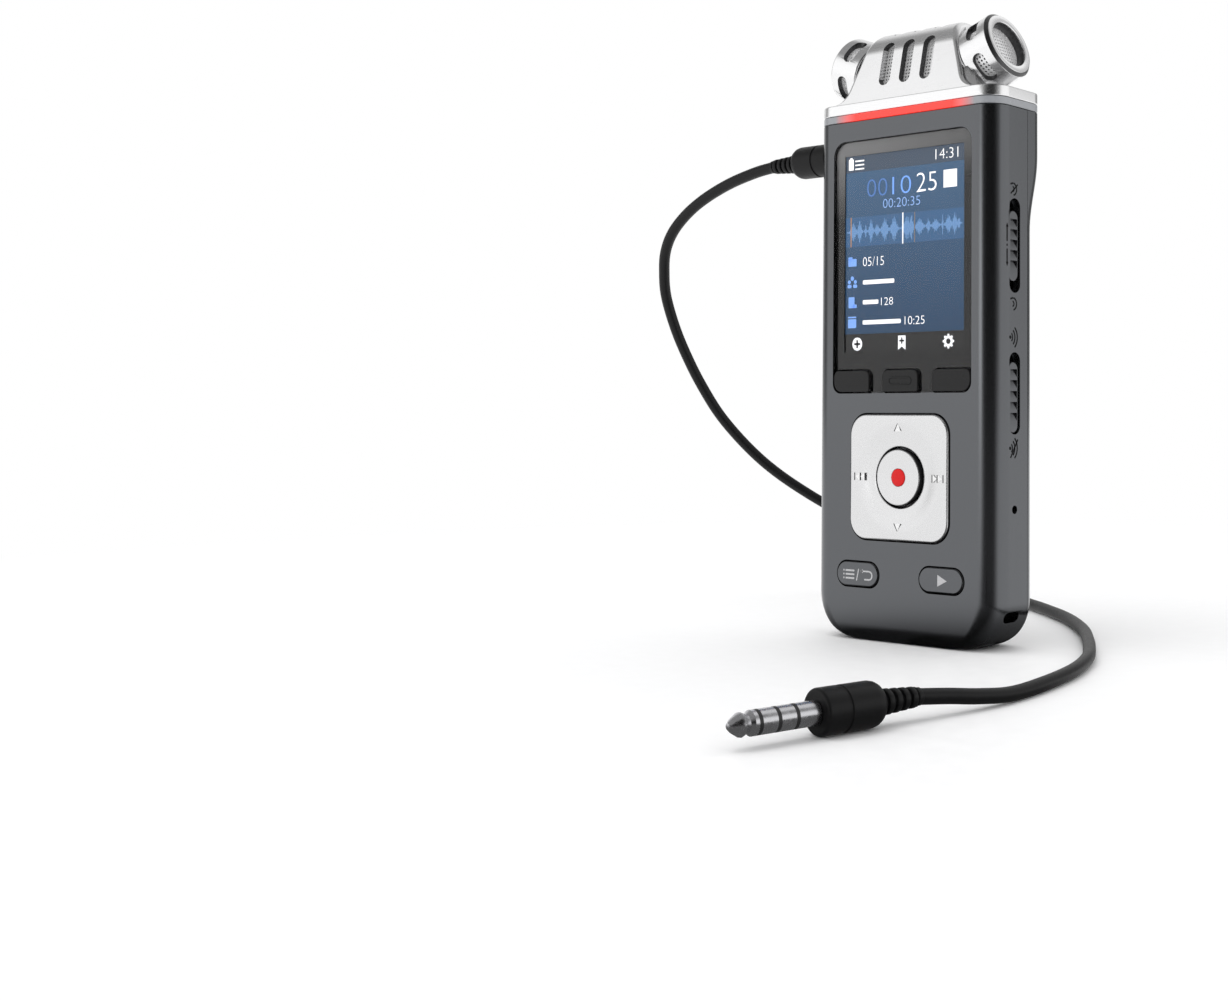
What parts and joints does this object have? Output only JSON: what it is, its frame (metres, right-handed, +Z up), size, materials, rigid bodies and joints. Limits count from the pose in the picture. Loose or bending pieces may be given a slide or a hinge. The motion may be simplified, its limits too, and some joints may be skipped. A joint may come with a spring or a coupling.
{
  "type": "handheld voice recorder",
  "caption": "Slim upright pocket voice recorder with angled microphone barrels on a silver head, a colour display, keys and a nav pad, and a lead plugged into its left side.",
  "frame": {"origin": "centre of the recorder's footprint box, on the ground", "axes": "+Z up along the recorder's length, -Y out of the display, +X to the right seen from the front"},
  "size_m": [0.1385, 0.1547, 0.1213],
  "materials": {
    "graphite_shell": "satin anthracite moulded shell",
    "satin_silver": "satin silver metal head and barrels",
    "woven_mesh": "perforated steel sheet",
    "smoke_ring": "translucent smoke light guide",
    "red_lamp": "red lit lens",
    "window_glass": "tinted display window",
    "display_panel": "display panel",
    "white_tray": "white reflector",
    "black_key": "black key",
    "silver_key": "satin silver painted key",
    "circuit_board": "green circuit board",
    "black_plastic": "black moulding",
    "steel": "plated steel",
    "battery_wrap": "battery sleeve",
    "keypad_silicone": "silicone",
    "black_rubber": "satin black flexible PVC"
  },
  "bodies": {
    "casing": {"front_housing": "graphite_shell", "rear_housing": "graphite_shell", "light_ring": "smoke_ring", "ring_led": "red_lamp", "mic_head": "satin_silver", "mic_barrel_left": "satin_silver", "mic_barrel_right": "satin_silver", "barrel_mesh_left": "woven_mesh", "barrel_mesh_right": "woven_mesh", "head_mesh": "woven_mesh", "mic_capsule_left": "black_plastic", "mic_capsule_right": "black_plastic", "mic_capsule_centre": "black_plastic", "mic_board": "circuit_board", "display_window": "window_glass", "lcd_panel": "display_panel", "backlight_tray": "white_tray", "pivot_bracket": "black_plastic", "hold_switch": "steel", "wireless_switch": "steel", "main_board": "circuit_board", "processor": "black_plastic", "key_mat": "keypad_silicone", "battery": "battery_wrap", "speaker": "black_plastic", "mic_socket": "black_plastic", "phones_socket": "black_plastic", "usb_socket": "steel", "card_socket": "steel", "rear_screw_1": "steel", "rear_screw_2": "steel", "rear_screw_3": "steel", "rear_screw_4": "steel", "mic_plug_relief": "black_rubber", "mic_plug_body": "black_rubber", "mic_plug_pin": "steel", "lead_cord": "black_rubber", "far_plug_relief": "black_rubber", "far_plug_body": "black_rubber", "far_plug_pin": "steel"},
    "key_left": {"key_left": "black_key"},
    "key_middle": {"key_middle": "black_key"},
    "key_right": {"key_right": "black_key"},
    "menu_key": {"menu_key": "graphite_shell"},
    "play_key": {"play_key": "graphite_shell"},
    "record_button": {"record_button": "silver_key", "record_dot": "red_lamp"},
    "nav_gimbal": {"nav_gimbal": "black_plastic"},
    "nav_pad": {"nav_pad": "silver_key"},
    "hold_knob": {"hold_knob": "graphite_shell"},
    "wireless_knob": {"wireless_knob": "graphite_shell"}
  },
  "joints": [
    {"name": "left_press", "type": "slide", "parent": "casing", "child": "key_left", "axis": [0, 1, 0], "range_m": [0, 0.00025], "stiffness_N_per_m": 500, "springref_m": -0.0005},
    {"name": "middle_press", "type": "slide", "parent": "casing", "child": "key_middle", "axis": [0, 1, 0], "range_m": [0, 0.00025], "stiffness_N_per_m": 500, "springref_m": -0.0005},
    {"name": "right_press", "type": "slide", "parent": "casing", "child": "key_right", "axis": [0, 1, 0], "range_m": [0, 0.00025], "stiffness_N_per_m": 500, "springref_m": -0.0005},
    {"name": "menu_press", "type": "slide", "parent": "casing", "child": "menu_key", "axis": [0, 1, 0], "range_m": [0, 0.00025], "stiffness_N_per_m": 500, "springref_m": -0.0005},
    {"name": "play_press", "type": "slide", "parent": "casing", "child": "play_key", "axis": [0, 1, 0], "range_m": [0, 0.00025], "stiffness_N_per_m": 500, "springref_m": -0.0005},
    {"name": "record_press", "type": "slide", "parent": "casing", "child": "record_button", "axis": [0, 1, 0], "range_m": [0, 0.00025], "stiffness_N_per_m": 500, "springref_m": -0.0005},
    {"name": "nav_tip", "type": "hinge", "parent": "casing", "child": "nav_gimbal", "pos_m": [0, -0.0049, 0.03195], "axis": [1, 0, 0], "range_deg": [-3, 3], "stiffness_Nm_per_rad": 0.3},
    {"name": "nav_turn", "type": "hinge", "parent": "nav_gimbal", "child": "nav_pad", "pos_m": [0, -0.0049, 0.03195], "axis": [0, 0, 1], "range_deg": [-3, 3], "stiffness_Nm_per_rad": 0.3},
    {"name": "hold_slide", "type": "slide", "parent": "casing", "child": "hold_knob", "axis": [0, 0, 1], "range_m": [-0.002, 0.002]},
    {"name": "wireless_slide", "type": "slide", "parent": "casing", "child": "wireless_knob", "axis": [0, 0, 1], "range_m": [0, 0.0015]}
  ]
}
